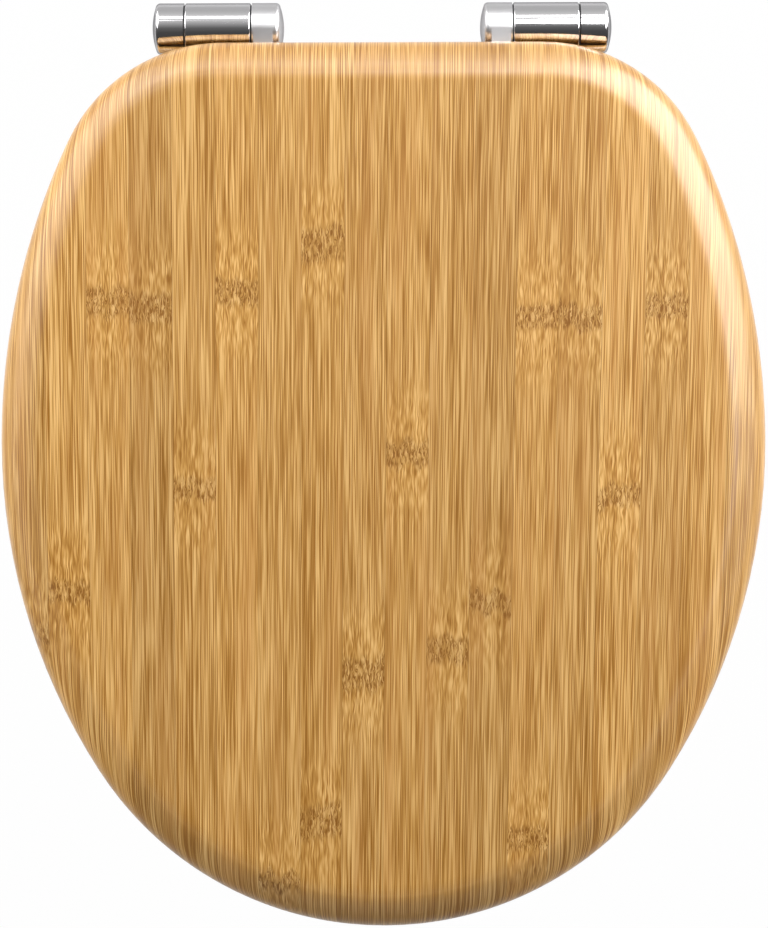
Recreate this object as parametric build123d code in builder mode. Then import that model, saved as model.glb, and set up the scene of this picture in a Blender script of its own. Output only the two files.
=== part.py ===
from build123d import *
import os
from math import acos, atan2, cos, degrees, radians, sin, sqrt

# Toilet seat: a lid and a ring of moulded wood on two damped three-knuckle hinges.
# Millimetres, +X to the right, +Y to the back, +Z up. The origin lies midway between
# the two fixing studs, on the face of the bowl.

# Lid outline, seen from above
lid_width = 358.0
lid_length = 414.0
lid_back_half = 75.0  # half of the straight back edge
lid_widest_setback = 20.0  # widest line behind the middle of the length
lid_nose_flare = 20.0  # half width less the nose radius
lid_corner_flare = 24.0  # half width less the back corner's arc and the straight edge
lid_thickness = 18.0
lid_edge_width = 15.3  # rounded upper edge, seen from above
lid_edge_depth = 15.0  # rounded upper edge, seen from the side
lid_edge_sweep = 72.0  # degrees of the edge's ellipse from the side up to the crease on top
lid_lower_round = 1.5

# Ring
ring_thickness = 18.0
ring_inset = 1.5  # how far the ring's edge lies inside the lid's
side_land = 63.0
front_land = 58.0
rear_land = 76.0
opening_back_half = 22.0
opening_widest_setback = 13.0
opening_nose_flare = 19.5
opening_corner_flare = 12.5
ring_upper_round = 7.0
ring_lower_round = 2.0

# Buffers that carry the ring on the bowl and the lid on the ring
seat_buffer_length = 36.0
seat_buffer_width = 14.0
seat_buffer_height = 10.0
seat_buffer_edge = 2.0
seat_stem_spacing = 18.0
lid_buffer_radius = 9.0
lid_buffer_height = 5.0
lid_buffer_edge = 1.5
stem_radius = 3.0
stem_length = 8.0
stem_clearance = 0.05
front_buffer_angle = -55.0  # round the nose, from the widest line
rear_buffer_angle = 30.0  # round the back corner, from the widest line

# Hinges
stud_spacing = 155.0
axis_setback = 20.0  # from the studs back to the hinge axis
barrel_radius = 12.0
barrel_length = 31.0
barrel_rise = 1.0  # how far the barrel stands above the lid's underside
barrel_edge = 0.8  # rounded rims beside the gaps
swing_clearance = 2.0  # lid's lower back corner to the barrel as it swings
ring_back_clearance = 0.8
knuckle_length = 15.0
knuckle_gap = 0.6
knuckle_dome = 2.3
knuckle_edge_round = 2.0
knuckle_seat = 9.5  # how deep the pin or the rotor reaches into a knuckle
end_wall = 5.0
foot_side_clearance = 1.5  # foot's rim inside the barrel's ends
foot_height = 6.0
foot_round = 2.0
neck_width = 22.0
neck_length = 8.5
neck_round = 3.0
neck_inset = 0.5  # neck's front face behind the barrel's

# Knuckle arms and their screws
plate_thickness = 3.0
arm_margin = 0.8
arm_drop = 0.1  # lid arm's upper face below the lid at its back edge
lug_back = 3.0  # seat knuckle's lug, from the axis forward to its rear face
lug_lean = 1.0  # how far that face leans forward on its way down
lid_arm_reach = 24.0  # from the axis forward to the first two screws
seat_arm_reach = 38.0
seat_plate_shift = 5.0  # seat plate's centre line outside its knuckle's
screw_spacing = 20.0
screw_row = 18.0
boss_radius = 7.5
screw_radius = 1.75
screw_head_radius = 3.5
screw_length = 14.0
screw_tip = 3.0
screw_clearance = 0.05

# Damper inside each barrel
damper_radius = 9.5
damper_flat = 8.0  # from the axis to the flat that stops the damper turning
damper_clearance = 0.05
damper_wall = 2.5
damper_floor = 3.0
damper_cap_thickness = 4.0
damper_cap_spigot = 2.0
drum_clearance = 0.3
drum_length = 13.0
journal_radius = 4.5
drive_radius = 4.0
drive_flats = 5.2  # across the two flats
running_clearance = 0.05

# Pivot pin and the washers between the knuckles
pin_radius = 3.0
pin_clearance = 0.02
pin_tip = 0.5
washer_thickness = 0.5
washer_radius = 11.0
washer_clearance = 0.3

# Fixing under the bowl
gasket_thickness = 2.0
stud_neck_radius = 4.5
stud_neck_depth = 5.0  # into the foot
stud_shank_radius = 4.0
stud_thread_radius = 3.8
stud_length = 55.0
stud_tip = 1.0
bowl_thickness = 18.0
fixing_clearance = 0.05
cone_small_radius = 6.0
cone_large_radius = 10.0
cone_height = 8.0
plain_washer_radius = 11.0
plain_washer_thickness = 1.5
nut_radius = 8.0
nut_height = 12.0
wing_span = 44.0
wing_thickness = 5.0
wing_tip_radius = 5.0

# Heights and places that follow from the sizes above
ring_bottom = seat_buffer_height
ring_top = ring_bottom + ring_thickness
lid_bottom = ring_top + lid_buffer_height
lid_top = lid_bottom + lid_thickness
axis_below_lid = barrel_radius - barrel_rise
axis_y = axis_setback
axis_z = lid_bottom - axis_below_lid
hinge_axis = Axis((0, axis_y, axis_z), (1, 0, 0))
lid_back = axis_y - sqrt((barrel_radius + swing_clearance) ** 2 - axis_below_lid**2)
ring_back = axis_y - barrel_radius - ring_back_clearance

# Arcs of the lid, and of the ring that follows it with its back edge further forward
lid_widest = lid_length / 2 - lid_widest_setback  # from the back edge to the widest line
lid_nose_radius = lid_width / 2 - lid_nose_flare
lid_corner_radius = lid_width / 2 - lid_back_half - lid_corner_flare
lid_edge_reach = lid_edge_width / (1 - cos(radians(lid_edge_sweep)))  # half axes of the edge's ellipse
lid_edge_rise = lid_edge_depth / sin(radians(lid_edge_sweep))
ring_setback = lid_back - ring_back
ring_width = lid_width - 2 * ring_inset
ring_length = lid_length - ring_setback - ring_inset
ring_nose_radius = lid_nose_radius - ring_inset
ring_corner_radius = lid_corner_radius - ring_setback
opening_back = ring_back - rear_land
opening_width = ring_width - 2 * side_land
opening_length = ring_length - rear_land - front_land
opening_widest = opening_length / 2 - opening_widest_setback
opening_nose_radius = opening_width / 2 - opening_nose_flare
opening_corner_radius = opening_width / 2 - opening_back_half - opening_corner_flare

os.makedirs("parts", exist_ok=True)


def save(piece, name):
    piece.part.label = name
    export_step(piece.part, f"parts/{name}.step")


def seat_outline(back, width, length, widest, nose_radius, corner_radius, back_half):
    """Egg outline of tangent arcs, with its straight back edge at y = back and its nose to -y."""
    half = width / 2
    rear_reach = half - back_half
    rear_drop = widest - corner_radius
    rear_flank = (rear_reach**2 + rear_drop**2 - corner_radius**2) / (2 * (rear_reach - corner_radius))
    rear_angle = degrees(atan2(rear_drop, rear_flank - rear_reach))
    front_drop = length - nose_radius - widest
    front_flank = (half**2 + front_drop**2 - nose_radius**2) / (2 * (half - nose_radius))
    front_angle = degrees(atan2(front_drop, front_flank - half))
    Line((0, back), (back_half, back))
    CenterArc((back_half, back - corner_radius), corner_radius, 90, rear_angle - 90)
    CenterArc((half - rear_flank, back - widest), rear_flank, rear_angle, -rear_angle)
    CenterArc((half - front_flank, back - widest), front_flank, 0, -front_angle)
    CenterArc((0, back - length + nose_radius), nose_radius, -front_angle, front_angle - 90)
    mirror(about=Plane.YZ)


def land_place(angle, inner_centre, inner_radius, outer_centre, outer_radius):
    """Middle of the ring's land at an angle round two arcs, and the direction along the land."""
    ray = Vector(cos(radians(angle)), sin(radians(angle)))
    inner = inner_centre + ray * inner_radius
    outer = outer_centre + ray * outer_radius
    across = outer - inner
    return (inner + outer) / 2, degrees(atan2(across.Y, across.X)) + 90


# Buffer places on the right half, mirrored to the left half
front_place, front_turn = land_place(
    front_buffer_angle,
    Vector(0, opening_back - opening_length + opening_nose_radius),
    opening_nose_radius,
    Vector(0, ring_back - ring_length + ring_nose_radius),
    ring_nose_radius,
)
rear_place, rear_turn = land_place(
    rear_buffer_angle,
    Vector(opening_back_half, opening_back - opening_corner_radius),
    opening_corner_radius,
    Vector(lid_back_half, ring_back - ring_corner_radius),
    ring_corner_radius,
)
buffer_places = {
    "front_left": Location((-front_place.X, front_place.Y, 0), (0, 0, -front_turn)),
    "front_right": Location((front_place.X, front_place.Y, 0), (0, 0, front_turn)),
    "rear_left": Location((-rear_place.X, rear_place.Y, 0), (0, 0, -rear_turn)),
    "rear_right": Location((rear_place.X, rear_place.Y, 0), (0, 0, rear_turn)),
}

# Hinge places. Both barrels are alike: each drives the knuckle on its right through
# the damper, and carries the knuckle on its left on a pin.
sides = {"left": -1, "right": 1}
hinge_x = {side: sign * stud_spacing / 2 for side, sign in sides.items()}
knuckle_offset = barrel_length / 2 + knuckle_gap  # hinge centre to a knuckle's near face
lid_knuckle_face = {side: hinge_x[side] - sign * knuckle_offset for side, sign in sides.items()}
seat_knuckle_face = {side: hinge_x[side] + sign * knuckle_offset for side, sign in sides.items()}


def plate_screws(centre_x, reach):
    """Three screw places of a knuckle's plate: two abreast and one in front of them."""
    first_row = axis_y - reach
    return [
        (centre_x - screw_spacing / 2, first_row),
        (centre_x + screw_spacing / 2, first_row),
        (centre_x, first_row - screw_row),
    ]


# The lid arm's upper face leaves the knuckle along the tangent to the lid's back edge
edge_rise = axis_below_lid - arm_drop
edge_reach = axis_y - lid_back
edge_distance = sqrt(edge_rise**2 + edge_reach**2)
crest_angle = atan2(edge_rise, -edge_reach) - acos(barrel_radius / edge_distance)
arm_crest = Vector(cos(crest_angle), sin(crest_angle)) * barrel_radius

straight_length = knuckle_length - knuckle_dome - knuckle_edge_round
arm_width = straight_length - 2 * arm_margin
lid_arm_x = {side: lid_knuckle_face[side] - sign * straight_length / 2 for side, sign in sides.items()}
seat_arm_x = {side: seat_knuckle_face[side] + sign * straight_length / 2 for side, sign in sides.items()}
lid_screw_points = {side: plate_screws(lid_arm_x[side], lid_arm_reach) for side in sides}
seat_screw_points = {
    side: plate_screws(seat_arm_x[side] + sign * seat_plate_shift, seat_arm_reach)
    for side, sign in sides.items()
}
pilot_depth = screw_length - plate_thickness


def facing_down(points, height):
    """Planes that look down at a flat underside, for holes drilled upwards."""
    return [Plane((x, y, height), x_dir=(1, 0, 0), z_dir=(0, 0, -1)) for x, y in points]


# Lid: one moulded board, flat on top, with a crease where its wide elliptical edge begins
with BuildPart() as lid:
    with BuildSketch(Plane.XY.offset(lid_bottom)):
        with BuildLine() as lid_edge:
            seat_outline(
                lid_back, lid_width, lid_length, lid_widest,
                lid_nose_radius, lid_corner_radius, lid_back_half,
            )
        make_face()
    extrude(amount=lid_thickness)
    fillet(lid.faces().sort_by(Axis.Z)[0].edges(), lid_lower_round)
    with BuildSketch(Plane.YZ):
        with BuildLine():
            round_over = EllipticalCenterArc(
                (lid_back - lid_edge_reach, lid_top - lid_edge_depth),
                lid_edge_reach, lid_edge_rise, start_angle=0, arc_size=lid_edge_sweep,
            )
            above = lid_top + lid_lower_round
            outside = lid_back + lid_lower_round
            Polyline(
                round_over @ 1, (lid_back - lid_edge_width, above), (outside, above),
                (outside, lid_top - lid_edge_depth), round_over @ 0,
            )
        make_face()
    sweep(path=lid_edge.wire(), mode=Mode.SUBTRACT)
    with Locations(*facing_down(lid_screw_points["left"] + lid_screw_points["right"], lid_bottom)):
        Hole(screw_radius + screw_clearance, pilot_depth + screw_clearance)
    stem_points = [(place.position.X, place.position.Y) for place in buffer_places.values()]
    with Locations(*facing_down(stem_points, lid_bottom)):
        Hole(stem_radius + stem_clearance, stem_length + stem_clearance)
save(lid, "lid")

# Ring: one moulded board with an egg-shaped opening, its upper edges well rounded
with BuildPart() as seat_ring:
    with BuildSketch(Plane.XY.offset(ring_bottom)):
        with BuildLine():
            seat_outline(
                ring_back, ring_width, ring_length, lid_widest - ring_setback,
                ring_nose_radius, ring_corner_radius, lid_back_half,
            )
        make_face()
        with BuildLine():
            seat_outline(
                opening_back, opening_width, opening_length, opening_widest,
                opening_nose_radius, opening_corner_radius, opening_back_half,
            )
        make_face(mode=Mode.SUBTRACT)
    extrude(amount=ring_thickness)
    fillet(seat_ring.faces().sort_by(Axis.Z)[-1].edges(), ring_upper_round)
    fillet(seat_ring.faces().sort_by(Axis.Z)[0].edges(), ring_lower_round)
    with Locations(*facing_down(seat_screw_points["left"] + seat_screw_points["right"], ring_bottom)):
        Hole(screw_radius + screw_clearance, pilot_depth + screw_clearance)
    for place in buffer_places.values():
        with Locations(Location((0, 0, ring_bottom)) * place):
            with Locations((-seat_stem_spacing / 2, 0), (seat_stem_spacing / 2, 0)):
                Cylinder(
                    stem_radius + stem_clearance, stem_length + stem_clearance,
                    align=(Align.CENTER, Align.CENTER, Align.MIN), mode=Mode.SUBTRACT,
                )
save(seat_ring, "seat_ring")

# Buffers: oblong ones under the ring on two stems, round ones under the lid on one stem
for corner, place in buffer_places.items():
    with BuildPart() as seat_buffer:
        with BuildSketch(Plane(place)):
            SlotOverall(seat_buffer_length, seat_buffer_width)
        extrude(amount=seat_buffer_height)
        chamfer(seat_buffer.faces().sort_by(Axis.Z)[0].edges(), seat_buffer_edge)
        with BuildSketch(Plane(place).offset(seat_buffer_height)):
            with Locations((-seat_stem_spacing / 2, 0), (seat_stem_spacing / 2, 0)):
                Circle(stem_radius)
        extrude(amount=stem_length)
    save(seat_buffer, f"seat_buffer_{corner}")

    with BuildPart() as lid_buffer:
        with BuildSketch(Plane(place).offset(ring_top)):
            Circle(lid_buffer_radius)
        extrude(amount=lid_buffer_height)
        chamfer(lid_buffer.faces().sort_by(Axis.Z)[0].edges(), lid_buffer_edge)
        with BuildSketch(Plane(place).offset(lid_bottom)):
            Circle(stem_radius)
        extrude(amount=stem_length)
    save(lid_buffer, f"lid_buffer_{corner}")


def damper_section(radius, flat):
    """Round section with one flat below, shared by the damper and the bore that holds it."""
    Circle(radius)
    with Locations((0, -flat)):
        Rectangle(2 * radius, 2 * radius, align=(Align.CENTER, Align.MAX), mode=Mode.SUBTRACT)


def drive_section(clearance):
    """Round section with two flats, shared by the rotor and the knuckle that it turns."""
    Circle(drive_radius + clearance)
    width = 2 * (drive_radius + clearance)
    Rectangle(width, drive_flats + 2 * clearance, mode=Mode.INTERSECT)


def across_hinge(x):
    """Plane square to the hinge axis at x, looking along +X, with Y to the right and Z up."""
    return Plane((x, axis_y, axis_z), x_dir=(0, 1, 0), z_dir=(1, 0, 0))


def knuckle_outline(face_x, sign):
    """Half section of a knuckle from its flat face outwards to its domed end."""
    end_x = face_x + sign * knuckle_length
    shoulder_x = end_x - sign * knuckle_dome
    Polyline((end_x, 0), (face_x, 0), (face_x, barrel_radius), (shoulder_x, barrel_radius))
    TangentArc((end_x, 0), (shoulder_x, barrel_radius), tangent=(0, 1))


for side, sign in sides.items():
    x = hinge_x[side]
    barrel_start = x - barrel_length / 2
    barrel_end = x + barrel_length / 2
    bore_start = barrel_start + end_wall

    # Hinge body: a cast barrel on a short neck, standing on a round foot over the stud
    with BuildPart() as hinge_body:
        with BuildSketch(Plane.XY.offset(gasket_thickness)):
            with Locations((x, 0)):
                Circle(barrel_length / 2 - foot_side_clearance)
        extrude(amount=foot_height)
        fillet(hinge_body.faces().sort_by(Axis.Z)[-1].edges(), foot_round)
        with BuildSketch(Plane.XY.offset(gasket_thickness)):
            with Locations((x, axis_y - barrel_radius + neck_inset)):
                Rectangle(neck_width, neck_length, align=(Align.CENTER, Align.MIN))
            fillet(vertices(), neck_round)
        extrude(amount=axis_z - gasket_thickness - barrel_radius / 2)
        with BuildSketch(across_hinge(barrel_start)):
            Circle(barrel_radius)
        extrude(amount=barrel_length)
        rims = hinge_body.edges().filter_by(GeomType.CIRCLE).filter_by(
            lambda edge: abs(edge.radius - barrel_radius) < barrel_edge
        )
        fillet(rims.group_by(Axis.X)[0] + rims.group_by(Axis.X)[-1], barrel_edge)
        with BuildSketch(across_hinge(bore_start)):
            damper_section(damper_radius + damper_clearance, damper_flat + damper_clearance)
        extrude(amount=barrel_length, mode=Mode.SUBTRACT)
        with BuildSketch(across_hinge(barrel_start)):
            Circle(pin_radius + pin_clearance)
        extrude(amount=end_wall, mode=Mode.SUBTRACT)
        with BuildSketch(Plane.XY.offset(gasket_thickness)):
            with Locations((x, 0)):
                Circle(stud_neck_radius + fixing_clearance)
        extrude(amount=stud_neck_depth + fixing_clearance, mode=Mode.SUBTRACT)
    save(hinge_body, f"hinge_body_{side}")

    # Damper: a keyed cup filled with grease, closed by a cap that the rotor passes through
    cap_start = barrel_end - damper_cap_thickness
    with BuildPart() as damper_housing:
        with BuildSketch(across_hinge(bore_start)):
            damper_section(damper_radius, damper_flat)
        extrude(amount=cap_start - bore_start)
        with BuildSketch(across_hinge(bore_start + damper_floor)):
            Circle(damper_radius - damper_wall)
        extrude(amount=barrel_length, mode=Mode.SUBTRACT)
    save(damper_housing, f"damper_housing_{side}")

    with BuildPart() as damper_cap:
        with BuildSketch(across_hinge(cap_start)):
            damper_section(damper_radius, damper_flat)
        extrude(amount=damper_cap_thickness)
        with BuildSketch(across_hinge(cap_start)):
            Circle(damper_radius - damper_wall - damper_clearance)
        extrude(amount=-damper_cap_spigot)
        with BuildSketch(across_hinge(cap_start - damper_cap_spigot)):
            Circle(journal_radius + running_clearance)
        extrude(amount=damper_cap_spigot + damper_cap_thickness, mode=Mode.SUBTRACT)
    save(damper_cap, f"damper_cap_{side}")

    # Rotor: a drum in the grease, a round journal in the cap, and two flats in the knuckle
    drum_end = cap_start - damper_cap_spigot - drum_clearance
    drive_start = barrel_end + knuckle_gap
    with BuildPart() as damper_rotor:
        with BuildSketch(across_hinge(drum_end - drum_length)):
            Circle(damper_radius - damper_wall - drum_clearance)
        extrude(amount=drum_length)
        with BuildSketch(across_hinge(drum_end)):
            Circle(journal_radius)
        extrude(amount=drive_start - drum_end)
        with BuildSketch(across_hinge(drive_start)):
            drive_section(0)
        extrude(amount=knuckle_seat)
    save(damper_rotor, f"damper_rotor_{side}")

    # Pivot pin: pressed into the barrel's end wall, with the other knuckle turning on it
    with BuildPart() as pivot_pin:
        with BuildSketch(across_hinge(bore_start)):
            Circle(pin_radius)
        extrude(amount=-(end_wall + knuckle_gap + knuckle_seat))
        chamfer(pivot_pin.faces().sort_by(Axis.X)[0].edges(), pin_tip)
    save(pivot_pin, f"pivot_pin_{side}")

    # Washers: thin slip rings between the barrel and the knuckle on either side of it
    with BuildPart() as drive_washer:
        with BuildSketch(across_hinge(barrel_end)):
            Circle(washer_radius)
            Circle(journal_radius + washer_clearance, mode=Mode.SUBTRACT)
        extrude(amount=washer_thickness)
    save(drive_washer, f"drive_washer_{side}")

    with BuildPart() as pin_washer:
        with BuildSketch(across_hinge(barrel_start)):
            Circle(washer_radius)
            Circle(pin_radius + washer_clearance, mode=Mode.SUBTRACT)
        extrude(amount=-washer_thickness)
    save(pin_washer, f"pin_washer_{side}")

    # Lid knuckle: the inner end of the hinge, cast with a flat arm screwed under the lid
    face_x = lid_knuckle_face[side]
    arm_height = lid_bottom - plate_thickness
    with BuildPart() as lid_knuckle:
        with BuildSketch(Plane((0, axis_y, axis_z))) as section:
            with BuildLine():
                knuckle_outline(face_x, -sign)
            make_face()
            rims = section.vertices().group_by(Axis.Y)[-1].sort_by(Axis.X)
            fillet(rims[0 if sign > 0 else -1], knuckle_edge_round)
            fillet(rims[-1 if sign > 0 else 0], barrel_edge)
        revolve(axis=hinge_axis)
        with BuildSketch(Plane.YZ.offset(lid_arm_x[side] - arm_width / 2)):
            with BuildLine():
                Polyline(
                    (axis_y + arm_crest.X, axis_z + arm_crest.Y),
                    (lid_back, lid_bottom - arm_drop),
                    (lid_back, lid_bottom),
                    (axis_y - lid_arm_reach, lid_bottom),
                    (axis_y - lid_arm_reach, arm_height),
                    (axis_y - barrel_radius, arm_height),
                    (axis_y, axis_z),
                    close=True,
                )
            make_face()
        extrude(amount=arm_width)
        with BuildSketch(Plane.XY.offset(arm_height)):
            with Locations(*lid_screw_points[side]):
                Circle(boss_radius)
            make_hull()
        extrude(amount=plate_thickness)
        with Locations(*facing_down(lid_screw_points[side], arm_height)):
            CounterSinkHole(screw_radius + screw_clearance, screw_head_radius, plate_thickness)
        with BuildSketch(across_hinge(face_x)):
            if side == "left":
                drive_section(running_clearance)
            else:
                Circle(pin_radius + running_clearance)
        extrude(amount=-sign * (knuckle_seat + knuckle_gap), mode=Mode.SUBTRACT)
    save(lid_knuckle, f"lid_knuckle_{side}")

    # Seat knuckle: the outer end of the hinge, cast with a lug and a plate under the ring
    face_x = seat_knuckle_face[side]
    arm_height = ring_bottom - plate_thickness
    with BuildPart() as seat_knuckle:
        with BuildSketch(Plane((0, axis_y, axis_z))) as section:
            with BuildLine():
                knuckle_outline(face_x, sign)
            make_face()
            rims = section.vertices().group_by(Axis.Y)[-1].sort_by(Axis.X)
            fillet(rims[-1 if sign > 0 else 0], knuckle_edge_round)
            fillet(rims[0 if sign > 0 else -1], barrel_edge)
        revolve(axis=hinge_axis)
        with BuildSketch(Plane.YZ.offset(seat_arm_x[side] - arm_width / 2)):
            with BuildLine():
                Polyline(
                    (axis_y - lug_back, axis_z - barrel_radius / 2),
                    (axis_y - lug_back - lug_lean, arm_height),
                    (axis_y - seat_arm_reach, arm_height),
                    (axis_y - seat_arm_reach, ring_bottom),
                    (axis_y - barrel_radius + neck_inset, ring_bottom),
                    (axis_y - barrel_radius + neck_inset, axis_z - lug_back),
                    close=True,
                )
            make_face()
        extrude(amount=arm_width)
        with BuildSketch(Plane.XY.offset(arm_height)):
            with Locations(*seat_screw_points[side]):
                Circle(boss_radius)
            make_hull()
        extrude(amount=plate_thickness)
        with Locations(*facing_down(seat_screw_points[side], arm_height)):
            CounterSinkHole(screw_radius + screw_clearance, screw_head_radius, plate_thickness)
        with BuildSketch(across_hinge(face_x)):
            if side == "right":
                drive_section(running_clearance)
            else:
                Circle(pin_radius + running_clearance)
        extrude(amount=sign * (knuckle_seat + knuckle_gap), mode=Mode.SUBTRACT)
    save(seat_knuckle, f"seat_knuckle_{side}")

    # Screws: countersunk wood screws driven up through each plate
    with BuildPart() as screw:
        with BuildSketch(Plane.XZ):
            with BuildLine():
                Polyline(
                    (0, 0), (screw_head_radius, 0), (screw_radius, screw_head_radius - screw_radius),
                    (screw_radius, screw_length - screw_tip), (0, screw_length), close=True,
                )
            make_face()
        revolve(axis=Axis.Z)

    with BuildPart() as lid_screws:
        with Locations(*[(px, py, lid_bottom - plate_thickness) for px, py in lid_screw_points[side]]):
            add(screw.part)
    save(lid_screws, f"lid_screws_{side}")

    with BuildPart() as seat_screws:
        with Locations(*[(px, py, ring_bottom - plate_thickness) for px, py in seat_screw_points[side]]):
            add(screw.part)
    save(seat_screws, f"seat_screws_{side}")

    # Stud: fixed in the foot, with a plain shank through the bowl and a threaded end
    with BuildPart() as fixing_stud:
        with BuildSketch(Plane.XY):
            with Locations((x, 0)):
                Circle(stud_neck_radius)
        extrude(amount=gasket_thickness + stud_neck_depth)
        with BuildSketch(Plane.XY):
            with Locations((x, 0)):
                Circle(stud_shank_radius)
        extrude(amount=-bowl_thickness)
        with BuildSketch(Plane.XY.offset(-bowl_thickness)):
            with Locations((x, 0)):
                Circle(stud_thread_radius)
        extrude(amount=bowl_thickness - stud_length)
        chamfer(fixing_stud.faces().sort_by(Axis.Z)[0].edges(), stud_tip)
    save(fixing_stud, f"fixing_stud_{side}")

    # Gasket: a soft ring between the foot and the bowl
    with BuildPart() as foot_gasket:
        with BuildSketch(Plane.XY):
            with Locations((x, 0)):
                Circle(barrel_length / 2 - foot_side_clearance)
                Circle(stud_neck_radius + fixing_clearance, mode=Mode.SUBTRACT)
        extrude(amount=gasket_thickness)
    save(foot_gasket, f"foot_gasket_{side}")

    # Under the bowl: a rubber cone that centres the stud, a plain washer and a wing nut
    washer_top = -bowl_thickness - cone_height
    nut_top = washer_top - plain_washer_thickness
    thread_bore = stud_thread_radius + fixing_clearance
    with BuildPart() as cone_washer:
        with BuildSketch(Plane((x, 0, 0), x_dir=(1, 0, 0), z_dir=(0, -1, 0))):
            with BuildLine():
                Polyline(
                    (thread_bore, -bowl_thickness), (cone_small_radius, -bowl_thickness),
                    (cone_large_radius, washer_top), (thread_bore, washer_top), close=True,
                )
            make_face()
        revolve(axis=Axis((x, 0, 0), (0, 0, 1)))
    save(cone_washer, f"cone_washer_{side}")

    with BuildPart() as plain_washer:
        with BuildSketch(Plane.XY.offset(washer_top)):
            with Locations((x, 0)):
                Circle(plain_washer_radius)
                Circle(thread_bore, mode=Mode.SUBTRACT)
        extrude(amount=-plain_washer_thickness)
    save(plain_washer, f"plain_washer_{side}")

    with BuildPart() as wing_nut:
        with BuildSketch(Plane.XY.offset(nut_top)):
            with Locations((x, 0)):
                Circle(nut_radius)
        extrude(amount=-nut_height)
        with BuildSketch(Plane.XZ):
            with Locations((x, nut_top - nut_height / 2)):
                RectangleRounded(wing_span, nut_height, wing_tip_radius)
        extrude(amount=wing_thickness / 2, both=True)
        with BuildSketch(Plane.XY.offset(nut_top)):
            with Locations((x, 0)):
                Circle(thread_bore)
        extrude(amount=-nut_height, mode=Mode.SUBTRACT)
    save(wing_nut, f"wing_nut_{side}")
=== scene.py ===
from math import asin, cos, pi, radians, sin

import bmesh
import bpy
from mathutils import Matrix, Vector


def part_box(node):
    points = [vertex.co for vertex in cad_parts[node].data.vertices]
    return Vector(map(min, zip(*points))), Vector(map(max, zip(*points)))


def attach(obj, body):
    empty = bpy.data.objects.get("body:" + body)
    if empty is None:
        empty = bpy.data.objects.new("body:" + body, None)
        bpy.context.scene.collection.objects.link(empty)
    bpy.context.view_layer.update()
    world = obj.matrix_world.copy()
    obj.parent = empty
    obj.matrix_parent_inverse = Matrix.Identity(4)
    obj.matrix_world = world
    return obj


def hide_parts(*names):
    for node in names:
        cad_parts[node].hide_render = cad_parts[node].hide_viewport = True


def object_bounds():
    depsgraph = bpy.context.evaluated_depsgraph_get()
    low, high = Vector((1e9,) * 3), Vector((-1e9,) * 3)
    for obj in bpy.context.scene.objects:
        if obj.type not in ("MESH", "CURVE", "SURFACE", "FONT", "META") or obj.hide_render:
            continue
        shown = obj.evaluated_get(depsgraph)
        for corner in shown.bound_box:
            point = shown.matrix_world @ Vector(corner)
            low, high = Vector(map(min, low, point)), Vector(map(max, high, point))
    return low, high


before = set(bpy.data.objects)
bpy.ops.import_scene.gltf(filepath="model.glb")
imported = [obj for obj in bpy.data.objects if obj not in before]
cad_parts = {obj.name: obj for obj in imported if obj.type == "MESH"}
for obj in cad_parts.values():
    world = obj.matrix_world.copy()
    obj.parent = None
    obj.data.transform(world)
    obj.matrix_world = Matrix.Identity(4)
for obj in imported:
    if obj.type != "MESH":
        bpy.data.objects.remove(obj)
cad_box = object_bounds()

# Hinge bodies and knuckles. Zinc castings, chrome plated: the polished barrels stand on the bowl, and each
# has a polished knuckle that turns with the ring on its outer side and a duller one for the lid inside.
chrome_colour = (0.82, 0.81, 0.82, 1.0)
glancing_shade_tint = (0.30, 0.30, 0.31, 1.0)  # how much of a glancing reflection is left: painted shade that darkens the chrome's outline
# A surface's haze: clouds in a metre, lowest and highest roughness, and depth of the ripple in metres
chrome_haze = (45.0, (0.045, 0.11), 0.000012)
satin_haze = (45.0, (0.26, 0.36), 0.000012)
cloud_detail = 3.0


def put(tree, kind, values=None, **settings):
    """A new node with its settings, and the values of its inputs or the outputs that feed them."""
    made = tree.nodes.new(kind)
    for name, value in settings.items():
        setattr(made, name, value)
    for key, value in (values or {}).items():
        if isinstance(value, bpy.types.NodeSocket):
            tree.links.new(value, made.inputs[key])
        else:
            made.inputs[key].default_value = value
    return made


def calc(tree, operation, *terms):
    """The result of a Math node."""
    return put(tree, "ShaderNodeMath", dict(enumerate(terms)), operation=operation).outputs[0]


haze_group = bpy.data.node_groups.new("surface_haze", "ShaderNodeTree")
for socket_name in ("Scale", "Low", "High"):
    haze_group.interface.new_socket(socket_name, in_out="INPUT", socket_type="NodeSocketFloat")
for socket_name in ("Roughness", "Height"):
    haze_group.interface.new_socket(socket_name, in_out="OUTPUT", socket_type="NodeSocketFloat")
haze_given = put(haze_group, "NodeGroupInput").outputs
haze_place = put(haze_group, "ShaderNodeTexCoord").outputs["Object"]
cloud_values = {"Vector": haze_place, "Scale": haze_given["Scale"], "Detail": cloud_detail}
clouds = put(haze_group, "ShaderNodeTexNoise", cloud_values).outputs[0]
haze_span = {"Value": clouds, "To Min": haze_given["Low"], "To Max": haze_given["High"]}
clouded = put(haze_group, "ShaderNodeMapRange", haze_span).outputs[0]
put(haze_group, "NodeGroupOutput", {"Roughness": clouded, "Height": clouds})


def finish(name, **surface):
    """A new material with a Principled surface, and its node tree."""
    material = bpy.data.materials.new(name)
    material.use_nodes = True
    tree = material.node_tree
    tree.nodes.clear()
    surface = {key.replace("_", " "): value for key, value in surface.items()}
    shader = put(tree, "ShaderNodeBsdfPrincipled", surface)
    put(tree, "ShaderNodeOutputMaterial", {"Surface": shader.outputs[0]})
    return material, tree, shader


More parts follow.
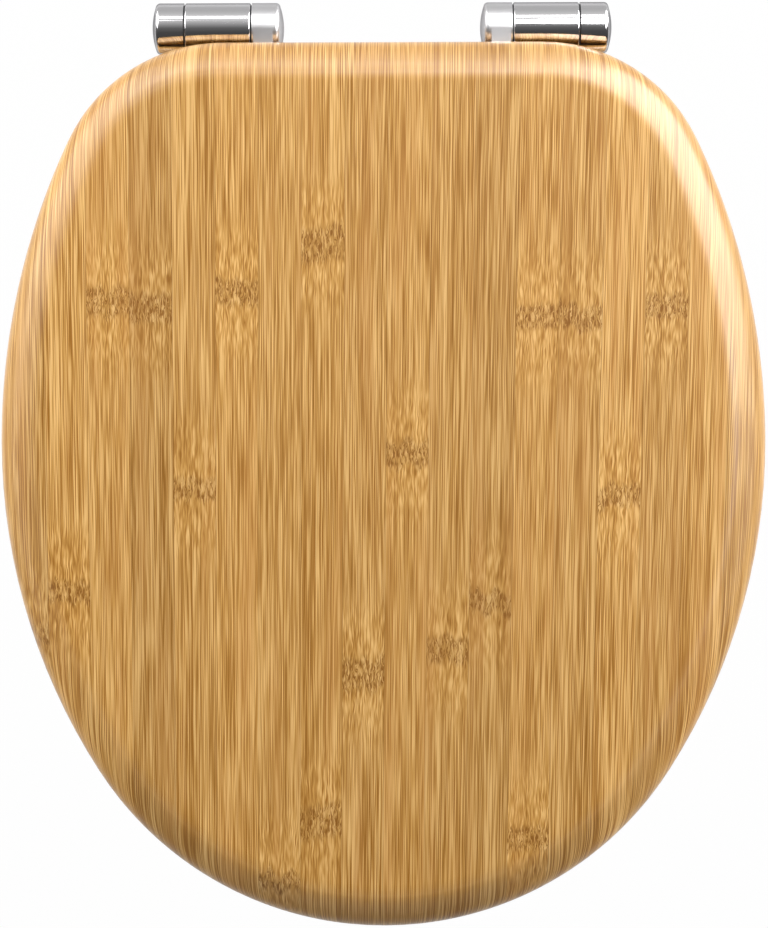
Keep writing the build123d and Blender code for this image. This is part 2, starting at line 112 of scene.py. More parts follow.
def hazed(name, scale, roughness, ripple, **surface):
    """A new material with faint clouds in its roughness and a slight unevenness of its surface."""
    material, tree, shader = finish(name, **surface)
    values = {"Scale": scale, "Low": roughness[0], "High": roughness[1]}
    group = put(tree, "ShaderNodeGroup", values, node_tree=haze_group)
    tree.links.new(group.outputs["Roughness"], shader.inputs["Roughness"])
    uneven = {"Height": group.outputs["Height"], "Strength": 1.0, "Distance": ripple}
    tree.links.new(put(tree, "ShaderNodeBump", uneven).outputs[0], shader.inputs["Normal"])
    return material


def dress(material, *names):
    """Gives CAD nodes a material."""
    for name in names:
        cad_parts[name].material_slots[0].material = material


def pair(*names):
    """The left and right nodes of each name."""
    return [f"{name}_{side}" for name in names for side in ("left", "right")]


# The specular tint is painted shade: it dims glancing reflections, so the plating's outline is darker
plating = {"Base_Color": chrome_colour, "Metallic": 1.0, "Specular_Tint": glancing_shade_tint}
chrome = hazed("polished_chrome", *chrome_haze, **plating)
dress(chrome, *pair("hinge_body", "seat_knuckle"))
satin = hazed("satin_chrome", *satin_haze, **plating)
dress(satin, *pair("lid_knuckle"))

# Dampers, slip washers and pins inside the hinges. Each damper is a moulded cup, cap and rotor with grease
# in it, the slip washers between a barrel and its knuckles are thin dark nylon, and the pins are ground
# steel, pressed into the barrels.
moulded_colour = (0.05, 0.052, 0.056, 1.0)
moulded_haze = (160.0, (0.38, 0.55), 0.00003)
slip_colour = (0.030, 0.030, 0.032, 1.0)
slip_haze = (220.0, (0.5, 0.65), 0.00002)
steel_colour = (0.60, 0.60, 0.61, 1.0)
steel_haze = (300.0, (0.22, 0.38), 0.00002)

moulded = hazed("moulded_damper", *moulded_haze, Base_Color=moulded_colour)
dress(moulded, *pair("damper_housing", "damper_cap", "damper_rotor"))
slip = hazed("slip_nylon", *slip_haze, Base_Color=slip_colour)
dress(slip, *pair("drive_washer", "pin_washer"))
steel = hazed("ground_steel", *steel_haze, Base_Color=steel_colour, Metallic=1.0)
dress(steel, *pair("pivot_pin"))

# Studs and screws. The studs are zinc-plated steel, fixed in the feet, with a rolled thread below the bowl;
# the countersunk wood screws with a cross recess hold the knuckles' arms under the lid and under the ring.
zinc_colour = (0.58, 0.58, 0.56, 1.0)
zinc_haze = (300.0, (0.26, 0.42), 0.00002)
# Heights and radii from end to end, where the thread starts and stops, and points along and around
stud_profile = [(-0.055, 0.0028), (-0.054, 0.0038), (-0.0181, 0.0038), (-0.018, 0.004), (0.0, 0.004),
                (0.0001, 0.0045), (0.007, 0.0045)]
stud_thread = (-0.0548, -0.019)
stud_points = (311, 28)
stud_pitch = 0.00125
stud_groove = 0.00065
screw_profile = [(0.0, 0.0035), (0.0002, 0.0035), (0.00195, 0.00175), (0.011, 0.00175), (0.014, 0.00005)]
screw_thread = (0.0028, 0.0138)
screw_points = (71, 20)
screw_pitch = 0.0014
screw_groove = 0.00045
screw_head = 0.0035
recess_length = 0.0038
recess_width = 0.0008
recess_height = 0.0026  # half of it is in the head
thread_fade = 0.001  # length over which a thread deepens at its ends
sharp_edge = radians(38)

zinc = hazed("zinc_plated_steel", *zinc_haze, Base_Color=zinc_colour, Metallic=1.0)


def turned_form(name, profile, thread, points, crossed=False):
    """Nodes for a turned piece on each place: a profile, a thread along it, and perhaps a cross recess."""
    form = bpy.data.node_groups.new(name, "GeometryNodeTree")
    inputs = {"Places": "Geometry", "Pitch": "Float", "Groove": "Float", "Surface": "Material"}
    for socket_name, kind in inputs.items():
        form.interface.new_socket(socket_name, in_out="INPUT", socket_type=f"NodeSocket{kind}")
    form.interface.new_socket("Pieces", in_out="OUTPUT", socket_type="NodeSocketGeometry")
    given = put(form, "NodeGroupInput").outputs
    bottom = profile[0][0]
    top = profile[-1][0]
    widest = max(radius for height, radius in profile)
    points_along, points_around = points
    ends = {"Start": (0.0, 0.0, bottom), "End": (0.0, 0.0, top)}
    spine = put(form, "GeometryNodeCurvePrimitiveLine", ends).outputs[0]
    spine = put(form, "GeometryNodeResampleCurve", {"Curve": spine, "Count": points_along}).outputs[0]
    girth = {"Resolution": points_around, "Radius": widest}
    circle = put(form, "GeometryNodeCurvePrimitiveCircle", girth).outputs[0]
    bar_ends = {"Curve": spine, "Profile Curve": circle, "Fill Caps": True}
    bar = put(form, "GeometryNodeCurveToMesh", bar_ends).outputs[0]

    position = put(form, "GeometryNodeInputPosition").outputs[0]
    axes = put(form, "ShaderNodeSeparateXYZ", {0: position}).outputs
    height_span = {"Value": axes[2], "From Min": bottom, "From Max": top}
    rise = put(form, "ShaderNodeMapRange", height_span).outputs[0]
    shape = put(form, "ShaderNodeFloatCurve", {"Value": rise})
    curve_points = shape.mapping.curves[0].points
    for number, (height, radius) in enumerate(profile):
        place = ((height - bottom) / (top - bottom), radius / widest)
        if 0 < number < len(profile) - 1:
            point = curve_points.new(*place)
        else:
            point = curve_points[0 if number == 0 else len(curve_points) - 1]
            point.location = place
        point.handle_type = "VECTOR"
    shape.mapping.update()
    turn = calc(form, "DIVIDE", calc(form, "ARCTAN2", axes[1], axes[0]), 2 * pi)
    lead = calc(form, "ADD", calc(form, "DIVIDE", axes[2], given["Pitch"]), turn)
    groove = calc(form, "MULTIPLY", calc(form, "PINGPONG", lead, 0.5), 2.0)
    for end, inward in zip(thread, (thread_fade, -thread_fade)):
        fade = {"Value": axes[2], "From Min": end, "From Max": end + inward}
        groove = calc(form, "MULTIPLY", groove, put(form, "ShaderNodeMapRange", fade).outputs[0])
    depth = calc(form, "DIVIDE", calc(form, "MULTIPLY", groove, given["Groove"]), widest)
    depth = calc(form, "MINIMUM", depth, calc(form, "MULTIPLY", shape.outputs[0], 0.5))
    share = calc(form, "SUBTRACT", shape.outputs[0], depth)
    turned = [calc(form, "MULTIPLY", axis, share) for axis in axes[:2]]
    turned = put(form, "ShaderNodeCombineXYZ", {0: turned[0], 1: turned[1], 2: axes[2]}).outputs[0]
    piece = put(form, "GeometryNodeSetPosition", {"Geometry": bar, "Position": turned}).outputs[0]
    if crossed:
        slots = [(recess_length, recess_width, recess_height), (recess_width, recess_length, recess_height)]
        blades = [put(form, "GeometryNodeMeshCube", {"Size": size}).outputs[0] for size in slots]
        cross = put(form, "GeometryNodeMeshBoolean", {"Mesh 2": blades[0]}, operation="DIFFERENCE")
        form.links.new(piece, cross.inputs["Mesh 1"])
        form.links.new(blades[1], cross.inputs["Mesh 2"])
        piece = cross.outputs[0]
    piece = put(form, "GeometryNodeSetShadeSmooth", {"Geometry": piece, "Shade Smooth": True}).outputs[0]
    copies = {"Points": given["Places"], "Instance": piece}
    pieces = put(form, "GeometryNodeInstanceOnPoints", copies).outputs[0]
    pieces = put(form, "GeometryNodeRealizeInstances", {0: pieces}).outputs[0]
    plated = {"Geometry": pieces, "Material": given["Surface"]}
    pieces = put(form, "GeometryNodeSetMaterial", plated).outputs[0]
    put(form, "NodeGroupOutput", {"Pieces": pieces})
    return form


def stand(form, name, places, body, nodes, pitch, groove):
    """One mesh of turned pieces at their places, in place of CAD nodes of one body."""
    holder = bpy.data.objects.new(f"{name}_places", bpy.data.meshes.new(f"{name}_places"))
    holder.data.from_pydata(places, [], [])
    bpy.context.scene.collection.objects.link(holder)
    modifier = holder.modifiers.new(name, "NODES")
    modifier.node_group = form
    values = {"Pitch": pitch, "Groove": groove, "Surface": zinc}
    for socket in form.interface.items_tree:
        if socket.in_out == "INPUT" and socket.name in values:
            modifier[socket.identifier] = values[socket.name]
    graph = bpy.context.evaluated_depsgraph_get()
    mesh = bpy.data.meshes.new_from_object(holder.evaluated_get(graph))
    holder.modifiers.remove(modifier)
    bpy.data.objects.remove(holder)
    mesh.set_sharp_from_angle(angle=sharp_edge)
    pieces = bpy.data.objects.new(name, mesh)
    bpy.context.scene.collection.objects.link(pieces)
    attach(pieces, body)
    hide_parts(*nodes)


stud_nodes = pair("fixing_stud")
stud_places = [((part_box(node)[0].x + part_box(node)[1].x) / 2, 0.0, 0.0) for node in stud_nodes]
stud_form = turned_form("threaded_stud", stud_profile, stud_thread, stud_points)
stand(stud_form, "threaded_studs", stud_places, "hinges", stud_nodes, stud_pitch, stud_groove)

screw_form = turned_form("wood_screw", screw_profile, screw_thread, screw_points, crossed=True)
for body in ("lid", "seat"):
    screw_nodes = pair(f"{body}_screws")
    screw_places = []
    for node in screw_nodes:
        low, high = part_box(node)
        back_row = high.y - screw_head
        screw_places.append((low.x + screw_head, back_row, low.z))
        screw_places.append((high.x - screw_head, back_row, low.z))
        screw_places.append(((low.x + high.x) / 2, low.y + screw_head, low.z))
    stand(screw_form, f"{body}_wood_screws", screw_places, body, screw_nodes, screw_pitch, screw_groove)

# Rubber under each hinge. Moulded black rubber: a flat gasket between the foot and the bowl, and below the
# bowl a cone that the nut pushes up into the hole, so that the stud sits in its middle.
rubber_colour = (0.022, 0.022, 0.024, 1.0)
rubber_haze = (380.0, (0.62, 0.82), 0.00006)

rubber = hazed("soft_rubber", *rubber_haze, Base_Color=rubber_colour)
dress(rubber, *pair("foot_gasket", "cone_washer"))

# Wing nuts and their washers. Each nut is moulded in white nylon with a thread inside and two wings, and
# is turned up its stud by hand, against a plain steel washer under the cone, until the hinge holds.
nut_colour = (0.72, 0.72, 0.70, 1.0)
nut_haze = (260.0, (0.36, 0.52), 0.00004)

nut = hazed("nut_nylon", *nut_haze, Base_Color=nut_colour)
dress(nut, *pair("wing_nut"))
dress(steel, *pair("plain_washer"))

# Buffers. Moulded pads of grey-white soft plastic, oblong under the ring and round under the lid, each
# pushed into its hole on a stem.
buffer_colour = (0.66, 0.65, 0.62, 1.0)
buffer_haze = (240.0, (0.42, 0.58), 0.00004)

buffer = hazed("buffer_plastic", *buffer_haze, Base_Color=buffer_colour)
corners = ("front_left", "front_right", "rear_left", "rear_right")
dress(buffer, *[f"{kind}_buffer_{corner}" for kind in ("seat", "lid") for corner in corners])

# Ring and lid: moulded boards under a film printed as bamboo strips and lacquered. The strips run from
# back to front, and the film is drawn over the rounded edges and down the sides.
mm_in_metre = 1000.0  # the sizes of the print are in mm
strip_width = 20.0
first_strip = -197.8  # left edge of the first strip
strip_count = 19
strip_narrowing = 0.00016  # share lost by each strip, and sideways lean, for each mm towards the nose
strip_lean = 0.012
square_place = 110.0  # from the back edge to where the strips have their full width
print_back = 11.3
print_length = 414.0

film = bpy.data.node_groups.new("bamboo_film", "ShaderNodeTree")
film.interface.new_socket("Place", in_out="INPUT", socket_type="NodeSocketVector")
film.interface.new_socket("Colour", in_out="OUTPUT", socket_type="NodeSocketColor")
film.interface.new_socket("Fibre", in_out="OUTPUT", socket_type="NodeSocketFloat")
film_place = put(film, "NodeGroupInput").outputs["Place"]
in_mm = {0: film_place, "Scale": mm_in_metre}
film_mm = put(film, "ShaderNodeVectorMath", in_mm, operation="SCALE").outputs[0]
film_axes = put(film, "ShaderNodeSeparateXYZ", {0: film_mm}).outputs
along = film_axes[1]
from_back = calc(film, "SUBTRACT", print_back, along)
past_square = calc(film, "SUBTRACT", from_back, square_place)
narrowed = calc(film, "MULTIPLY_ADD", past_square, strip_narrowing, 1.0)
across = calc(film, "MULTIPLY", film_axes[0], narrowed)
across = calc(film, "MULTIPLY_ADD", past_square, strip_lean, across)
strips_across = calc(film, "DIVIDE", calc(film, "SUBTRACT", across, first_strip), strip_width)
strip = calc(film, "FLOOR", strips_across)
in_strip = calc(film, "FRACT", strips_across)
chance = put(film, "ShaderNodeTexWhiteNoise", {"W": strip}, noise_dimensions="1D").outputs["Color"]
chances = put(film, "ShaderNodeSeparateColor", {0: chance}).outputs

# Layers of the print: noise cells in a mm across and along the strips, seed, and detail of the noise
layers = {
    "sway": (0.20, 0.0, 3.0, 2.0),
    "bend": (0.65, 0.13, 11.0, 1.0),
    "kink": (0.90, 0.34, 17.0, 1.0),
    "thin": (3.10, 0.040, 21.0, 0.0),
    "long": (3.10, 0.012, 24.0, 0.0),
    "short": (2.10, 0.145, 27.0, 0.0),
    "wide": (0.26, 0.010, 31.0, 1.0),
    "bundles": (0.75, 0.012, 35.0, 0.0),
    "bands": (0.11, 0.006, 41.0, 2.0),
    "strokes": (2.90, 0.24, 51.0, 0.0),
}
layer_roughness = 0.55
strip_seed = 7.31  # from one strip's seed to the next


def fibres(layer, place):
    """A layer of noise, drawn out along the strips, with its own seed in each of them."""
    cells_across, cells_along, seed, detail = layers[layer]
    cell = put(film, "ShaderNodeCombineXYZ", {
        0: calc(film, "MULTIPLY", place, cells_across),
        1: calc(film, "MULTIPLY", along, cells_along),
        2: calc(film, "MULTIPLY_ADD", strip, strip_seed, seed),
    })
    values = {"Vector": cell.outputs[0], "Scale": 1.0, "Detail": detail, "Roughness": layer_roughness}
    return put(film, "ShaderNodeTexNoise", values).outputs[0]


def swing(noise):
    """How far a noise is from its middle."""
    return calc(film, "SUBTRACT", noise, 0.5)


def ease(value, span, low=0.0):
    """A smooth step from low to one as a value goes from the start of a span to its end."""
    steps = {"Value": value, "From Min": span[0], "From Max": span[1], "To Min": low, "To Max": 1.0}
    return put(film, "ShaderNodeMapRange", steps, interpolation_type="SMOOTHSTEP").outputs[0]


def mixed(factor, first, second):
    """A value between two others."""
    return put(film, "ShaderNodeMix", {0: factor, 2: first, 3: second}, data_type="FLOAT").outputs[0]


def blend(factor, first, second, mode="MIX"):
    """One colour over another."""
    colours = {0: factor, 6: first, 7: second}
    return put(film, "ShaderNodeMix", colours, data_type="RGBA", blend_type=mode).outputs[2]


def fill_ramp(ramp, stops):
    """Gives a colour ramp its stops, each a position and a colour, in order."""
    for number, (position, colour) in enumerate(stops):
        stop = ramp.elements[number] if number < 2 else ramp.elements.new(position)
        stop.position = position
        stop.color = colour


# Knuckles of the cane: half their height, and their distances from the lid's back edge, by strip
knuckles = {
    1: (6, [276]), 2: (6, [257]), 3: (8, [122]), 4: (8, [125]), 5: (6, [208]), 6: (7, [118]),
    7: (5, [391]), 8: (9, [96, 364]), 9: (9, [295]), 10: (7, [193]), 11: (7, [284]), 12: (6, [262]),
    13: (6.5, [130, 372]), 14: (6.5, [130]), 15: (6, [213]), 16: (6.5, [125]),
}
no_knuckle = (6, [1200])  # far past the nose
knuckle_sway = 8.0  # how far a knuckle's line wanders up and down
halo_span = (42.0, 10.0)  # distances at which a knuckle's halo starts and is full
core_span = (1.15, 0.55)  # the same for its core, in half heights

strip_place = calc(film, "DIVIDE", calc(film, "ADD", strip, 0.5), strip_count)
knuckle_map = put(film, "ShaderNodeValToRGB", {0: strip_place})
knuckle_map.color_ramp.interpolation = "CONSTANT"
knuckle_stops = []
for number in range(strip_count):
    half_height, places = knuckles.get(number, no_knuckle)
    shares = [size / print_length for size in (places[0], places[-1], half_height)]
    knuckle_stops.append((number / strip_count, (*shares, 1.0)))
fill_ramp(knuckle_map.color_ramp, knuckle_stops)
knuckle_shares = put(film, "ShaderNodeSeparateColor", {0: knuckle_map.outputs[0]}).outputs
knuckle_mm = [calc(film, "MULTIPLY", value, print_length) for value in knuckle_shares[:3]]
sway = calc(film, "MULTIPLY_ADD", fibres("sway", across), 2 * knuckle_sway, -knuckle_sway)
swayed = calc(film, "ADD", from_back, sway)
offsets = [calc(film, "ABSOLUTE", calc(film, "SUBTRACT", swayed, place)) for place in knuckle_mm[:2]]
nearest = calc(film, "MINIMUM", *offsets)
halo = ease(nearest, halo_span)
core = ease(calc(film, "DIVIDE", nearest, knuckle_mm[2]), core_span)

# Fibres: they bend near a knuckle, short ones and strokes take their place there, and each strip has its
# own contrast
plain_bend = 0.06
halo_bend = 1.5  # added in a halo
core_kink = 1.8
long_share = 0.45  # the rest are thin fibres
short_share = 0.70
stroke_share = 0.60
least_contrast = 0.76
chance_contrast = 0.36  # added by chance
halo_calm = -0.38
bundle_weight = 0.05
wide_weight = 0.22

halo_bent = calc(film, "MULTIPLY_ADD", halo, halo_bend, plain_bend)
bent = calc(film, "MULTIPLY_ADD", swing(fibres("bend", across)), halo_bent, across)
core_kinked = calc(film, "MULTIPLY", core, core_kink)
bent = calc(film, "MULTIPLY_ADD", swing(fibres("kink", across)), core_kinked, bent)
strokes = fibres("strokes", bent)
thin = calc(film, "MULTIPLY", fibres("thin", bent), 1.0 - long_share)
fine = calc(film, "MULTIPLY_ADD", fibres("long", bent), long_share, thin)
fine = mixed(calc(film, "MULTIPLY", halo, short_share), fine, fibres("short", bent))
fine = mixed(calc(film, "MULTIPLY", core, stroke_share), fine, strokes)
contrast = calc(film, "MULTIPLY_ADD", chances[1], chance_contrast, least_contrast)
contrast = calc(film, "MULTIPLY", contrast, calc(film, "MULTIPLY_ADD", halo, halo_calm, 1.0))
fibre = calc(film, "ADD", calc(film, "MULTIPLY", swing(fine), contrast), 0.5)
fibre = calc(film, "MULTIPLY_ADD", swing(fibres("bundles", bent)), bundle_weight, fibre)
fibre = calc(film, "MULTIPLY_ADD", swing(fibres("wide", across)), wide_weight, fibre)

# Colours: fibres from dark to pale with warmer bands, darker seams between the strips, brown knuckles
dark_fibre = (0.252, 0.105, 0.014, 1.0)
cane = (0.428, 0.225, 0.055, 1.0)
pale_fibre = (0.619, 0.377, 0.139, 1.0)
fibre_tones = [(0.385, dark_fibre), (0.50, cane), (0.615, pale_fibre)]
warm_cane = (0.402, 0.190, 0.048, 1.0)
warm_span = (0.46, 0.72)
warm_weight = 0.40
least_tone = 0.92
chance_tone = 0.17  # added by chance
seam_span = (0.0, 0.45)
seam_tone = 0.84
halo_tone = 0.05
core_tone = -0.11
knuckle_brown = (0.190, 0.070, 0.008, 1.0)
brown_span = (0.54, 0.38)
brown_weight = 0.74

tone_ramp = put(film, "ShaderNodeValToRGB", {0: fibre})
fill_ramp(tone_ramp.color_ramp, fibre_tones)
warmth = ease(fibres("bands", across), warm_span)
toned = blend(calc(film, "MULTIPLY", warmth, warm_weight), tone_ramp.outputs[0], warm_cane)
strip_tone = calc(film, "MULTIPLY_ADD", chances[0], chance_tone, least_tone)
to_seam = calc(film, "MULTIPLY", calc(film, "PINGPONG", in_strip, 0.5), strip_width)
strip_tone = calc(film, "MULTIPLY", strip_tone, ease(to_seam, seam_span, low=seam_tone))
strip_tone = calc(film, "MULTIPLY", strip_tone, calc(film, "MULTIPLY_ADD", halo, halo_tone, 1.0))
strip_tone = calc(film, "MULTIPLY", strip_tone, calc(film, "MULTIPLY_ADD", core, core_tone, 1.0))
grey = put(film, "ShaderNodeCombineColor", {0: strip_tone, 1: strip_tone, 2: strip_tone}).outputs[0]
toned = blend(1.0, toned, grey, "MULTIPLY")
brown = calc(film, "MULTIPLY", core, ease(strokes, brown_span))
shaded = blend(calc(film, "MULTIPLY", brown, brown_weight), toned, knuckle_brown)
put(film, "NodeGroupOutput", {"Colour": shaded, "Fibre": fibre})

# Lacquer: its gloss is lower where the film isn't stretched over an edge
lacquer = {"Coat_Roughness": 0.31, "Coat_IOR": 1.7, "Specular_IOR_Level": 0.1}
paper_haze = {"Scale": 30.0, "Low": 0.42, "High": 0.54}
flat_gloss = 0.12
edge_gloss = 1.0
flat_level = 0.9998  # upward part of a face's normal, where the flat ends
edge_level = 0.992
fibre_strength = 0.5
fibre_height = 0.00008


def bamboo(name, shift):
    """The lacquered film, with its print moved by a shift in metres."""
    material, tree, shader = finish(name, **lacquer)
    paper = put(tree, "ShaderNodeGroup", paper_haze, node_tree=haze_group)
    tree.links.new(paper.outputs["Roughness"], shader.inputs["Roughness"])
    facing = put(tree, "ShaderNodeTexCoord").outputs["Normal"]
    level = calc(tree, "ABSOLUTE", put(tree, "ShaderNodeSeparateXYZ", {0: facing}).outputs[2])
    levels = {"From Min": flat_level, "From Max": edge_level}
    glosses = {"To Min": flat_gloss, "To Max": edge_gloss}
    gloss = put(tree, "ShaderNodeMapRange", {"Value": level, **levels, **glosses}).outputs[0]
    tree.links.new(gloss, shader.inputs["Coat Weight"])
    place = put(tree, "ShaderNodeUVMap", uv_map="film").outputs[0]
    moved = put(tree, "ShaderNodeVectorMath", {0: place, 1: shift}, operation="ADD").outputs[0]
    group = put(tree, "ShaderNodeGroup", {"Place": moved}, node_tree=film)
    tree.links.new(group.outputs["Colour"], shader.inputs["Base Color"])
    relief = {"Height": group.outputs["Fibre"], "Strength": fibre_strength, "Distance": fibre_height}
    tree.links.new(put(tree, "ShaderNodeBump", relief).outputs[0], shader.inputs["Normal"])
    return material


# Boards: the film softens the lid's crease, over a width on the flat top
weld = 0.000001
leaning_below = 0.9999  # upward part of a normal off the flat top
flat_lean = 0.02  # sideways part of a normal on a flat face
underside_below = -0.9


def board_mesh(node, top, soft):
    """A merged copy of a board's mesh and its corners' normals, softened over a width on the flat top."""
    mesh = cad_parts[node].data.copy()
    kept = mesh.attributes.new("board_normal", "FLOAT_VECTOR", "CORNER")
    for corner, normal in zip(kept.data, mesh.corner_normals):
        corner.vector = normal.vector
    shell = bmesh.new()
    shell.from_mesh(mesh)
    bmesh.ops.remove_doubles(shell, verts=shell.verts, dist=weld)
    if soft:
        flat_top = [face for face in shell.faces if min(vert.co.z for vert in face.verts) > top - weld]
        bmesh.ops.inset_region(shell, faces=flat_top, thickness=soft, use_even_offset=True)
    shell.to_mesh(mesh)
    shell.free()
    normals = [corner.vector.copy() for corner in mesh.attributes["board_normal"].data]
    mesh.attributes.remove(mesh.attributes["board_normal"])
    if soft:
        upward = Vector((0.0, 0.0, 1.0))
        leaning = {}
        for loop, normal in zip(mesh.loops, normals):
            if normal.z < leaning_below:
                leaning.setdefault(loop.vertex_index, []).append(normal.copy())
        for corner, loop in enumerate(mesh.loops):
            if mesh.vertices[loop.vertex_index].co.z > top - weld:
                around = leaning.get(loop.vertex_index, [upward])
                normals[corner] = (upward + sum(around, Vector()) / len(around)).normalized()
    mesh.shade_smooth()
    mesh.normals_split_custom_set(normals)
    return mesh, normals


def film_board(node, name, body, material, reach, rise, sweep, soft=None):
    """A board with the UV map of the film, drawn over the ellipse of its upper edge and down its sides."""
    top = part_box(node)[1].z
    crease = sin(sweep)
    mesh, normals = board_mesh(node, top, soft)
    film_map = mesh.uv_layers.new(name="film")
    for corner, loop in enumerate(mesh.loops):
        place = mesh.vertices[loop.vertex_index].co
        normal = normals[corner]
        depth = top - place.z
        turn = asin(min(crease, max(0.0, crease - depth / rise)))
        drawn = (sweep - turn) * (reach + rise) / 2 + max(0.0, depth - rise * crease)
        seen = reach * (cos(turn) - cos(sweep))
        outward = Vector((normal.x, normal.y))
        flat = outward.length < flat_lean or normal.z < underside_below
        spare = Vector((0.0, 0.0)) if flat else outward.normalized() * (drawn - seen)
        film_map.data[corner].uv = Vector((place.x, place.y)) + spare
    mesh.materials.clear()
    mesh.materials.append(material)
    board = bpy.data.objects.new(name, mesh)
    bpy.context.scene.collection.objects.link(board)
    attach(board, body)
    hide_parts(node)


ring_round = 0.007
ring_shift = (0.060, 0.150, 0.0)  # so that the ring's strips aren't those of the lid above them
ring_film = bamboo("ring_film", ring_shift)
film_board("seat_ring", "ring_board", "seat", ring_film, ring_round, ring_round, pi / 2)

lid_edge_width = 0.0153
lid_edge_depth = 0.015
lid_sweep = radians(72)
lid_reach = lid_edge_width / (1 - cos(lid_sweep))
lid_rise = lid_edge_depth / sin(lid_sweep)
lid_soft = 0.0055
lid_film = bamboo("lid_film", (0.0, 0.0, 0.0))
film_board("lid", "lid_board", "lid", lid_film, lid_reach, lid_rise, lid_sweep, lid_soft)

# Floor. A plain pale sheet, matt, as far below the seat as the floor that a bowl stands on, so that the lid
# swings clear of it; it is white to the camera and runs on beyond the picture.
floor_half = 60.0
floor_drop = 0.35
floor_pale = (0.52, 0.52, 0.52, 1.0)
floor_white = 0.97  # share of plain white that the camera sees
# Reflections see less of that white: a share that rises from front to back
mirror_front = -0.35
mirror_back = 0.25
front_share = 0.02
back_share = 0.45

floor_z = cad_box[0].z - floor_drop
floor_mesh = bpy.data.meshes.new("floor")
floor_corners = [(x * floor_half, y * floor_half, floor_z) for x, y in ((-1, -1), (1, -1), (1, 1), (-1, 1))]
floor_mesh.from_pydata(floor_corners, [], [(0, 1, 2, 3)])
floor = bpy.data.objects.new("floor", floor_mesh)
bpy.context.scene.collection.objects.link(floor)
floor_material = bpy.data.materials.new("pale_floor")
floor_material.use_nodes = True
floor_tree = floor_material.node_tree
floor_tree.nodes.clear()
light_path = put(floor_tree, "ShaderNodeLightPath").outputs
floor_place = put(floor_tree, "ShaderNodeTexCoord").outputs["Object"]
floor_y = put(floor_tree, "ShaderNodeSeparateXYZ", {0: floor_place}).outputs[1]
mirror_places = {"From Min": mirror_front, "From Max": mirror_back}
mirror_shares = {"To Min": front_share, "To Max": back_share}
mirror = put(floor_tree, "ShaderNodeMapRange", {"Value": floor_y, **mirror_places, **mirror_shares})
mirrored_share = calc(floor_tree, "MULTIPLY", light_path["Is Glossy Ray"], mirror.outputs[0])
seen_by = calc(floor_tree, "MAXIMUM", light_path["Is Camera Ray"], light_path["Is Transmission Ray"])
seen_by = calc(floor_tree, "MAXIMUM", seen_by, mirrored_share)
matt = put(floor_tree, "ShaderNodeBsdfDiffuse", {"Color": floor_pale}).outputs[0]
white = put(floor_tree, "ShaderNodeEmission", {"Color": (1.0, 1.0, 1.0, 1.0), "Strength": 1.0}).outputs[0]
white_share = calc(floor_tree, "MULTIPLY", seen_by, floor_white)
floor_mix = put(floor_tree, "ShaderNodeMixShader", {0: white_share, 1: matt, 2: white}).outputs[0]
put(floor_tree, "ShaderNodeOutputMaterial", {"Surface": floor_mix})
floor_mesh.materials.append(floor_material)

# Studio. Softboxes behind the seat and at its back corners, panels at its sides and a weak fill in front
# light the matt surfaces; tall glows at the back corners and a strip behind show in reflections alone, and
# the surroundings are brighter behind the seat than in front of it.
aim = Vector((0.0, -0.15, 0.04))
# Name, place, size, power, and whether matt surfaces and reflections take its light
lights = [
    ("back_softbox", (0.0, 0.90, 0.45), (1.2, 0.4), 6.9, True, False),
    ("right_softbox", (0.82, 0.54, 0.50), (0.7, 0.7), 5.7, True, False),
    ("right_glow", (0.74, 0.48, 0.78), (1.1, 1.8), 39.0, False, True),
    ("left_softbox", (-0.82, 0.54, 0.50), (0.7, 0.7), 8.4, True, False),
    ("left_glow", (-0.80, 0.52, 0.62), (1.1, 1.4), 8.0, False, True),
    ("right_panel", (0.95, -0.08, 0.32), (0.8, 0.3), 10.2, True, False),
    ("left_panel", (-0.95, -0.08, 0.32), (0.8, 0.3), 6.8, True, False),
    ("front_fill", (0.0, -1.20, 0.45), (1.2, 0.4), 2.7, True, False),
    ("back_strip", (0.0, 0.88, 0.87), (1.6, 0.20), 2.8, False, True),
]
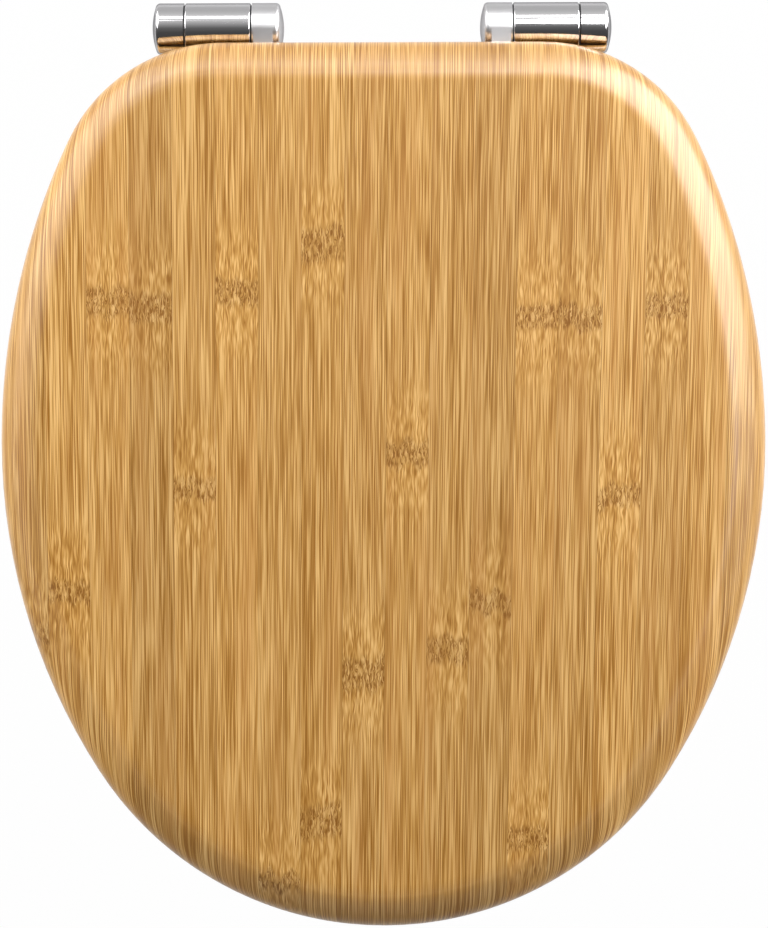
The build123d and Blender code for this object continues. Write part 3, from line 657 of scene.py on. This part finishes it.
# The surroundings' brightness, by place from front to back
sky_steps = [(0.0, 0.05), (0.30, 0.07), (0.46, 0.13), (0.55, 0.25), (0.70, 0.50), (0.85, 0.88),
             (0.95, 0.60), (1.0, 0.50)]

for name, place, (width, height), power, lit, mirrored in lights:
    lamp = bpy.data.lights.new(name, "AREA")
    lamp.shape = "RECTANGLE"
    lamp.size = width
    lamp.size_y = height
    lamp.energy = power
    holder = bpy.data.objects.new(name, lamp)
    holder.location = place
    holder.rotation_euler = (aim - Vector(place)).to_track_quat("-Z", "Y").to_euler()
    holder.visible_diffuse = lit
    holder.visible_glossy = mirrored
    bpy.context.scene.collection.objects.link(holder)

world = bpy.data.worlds.new("studio")
bpy.context.scene.world = world
world.use_nodes = True
studio_tree = world.node_tree
studio_tree.nodes.clear()
direction = put(studio_tree, "ShaderNodeTexCoord").outputs["Generated"]
heading = put(studio_tree, "ShaderNodeSeparateXYZ", {0: direction}).outputs
backward = calc(studio_tree, "MULTIPLY_ADD", heading[1], 0.5, 0.5)
sky = put(studio_tree, "ShaderNodeValToRGB", {0: backward})
fill_ramp(sky.color_ramp, [(position, (level, level, level, 1.0)) for position, level in sky_steps])
sky_light = put(studio_tree, "ShaderNodeBackground", {"Color": sky.outputs[0], "Strength": 1.0})
put(studio_tree, "ShaderNodeOutputWorld", {"Surface": sky_light.outputs[0]})
bpy.context.scene.view_settings.view_transform = "Standard"

# Camera. It hangs straight above the closed lid and looks down, turned a little, at the distance where
# the lid fills the picture.
picture_height = 928  # pixels
pixel = 0.0004686  # metres across one pixel at the lid's edge
edge_height = 0.037
camera_height = 1.40
camera_place = (0.0002, -0.1864)
camera_turn = radians(-0.2)
sensor_width = 36.0
farthest_seen = 200.0

camera_data = bpy.data.cameras.new("camera")
camera_data.sensor_width = sensor_width
camera_data.lens = sensor_width * (camera_height - edge_height) / (picture_height * pixel)
camera_data.clip_end = farthest_seen
camera = bpy.data.objects.new("camera", camera_data)
camera.location = (*camera_place, camera_height)
camera.rotation_euler = (0.0, 0.0, camera_turn)
bpy.context.scene.collection.objects.link(camera)
bpy.context.scene.camera = camera
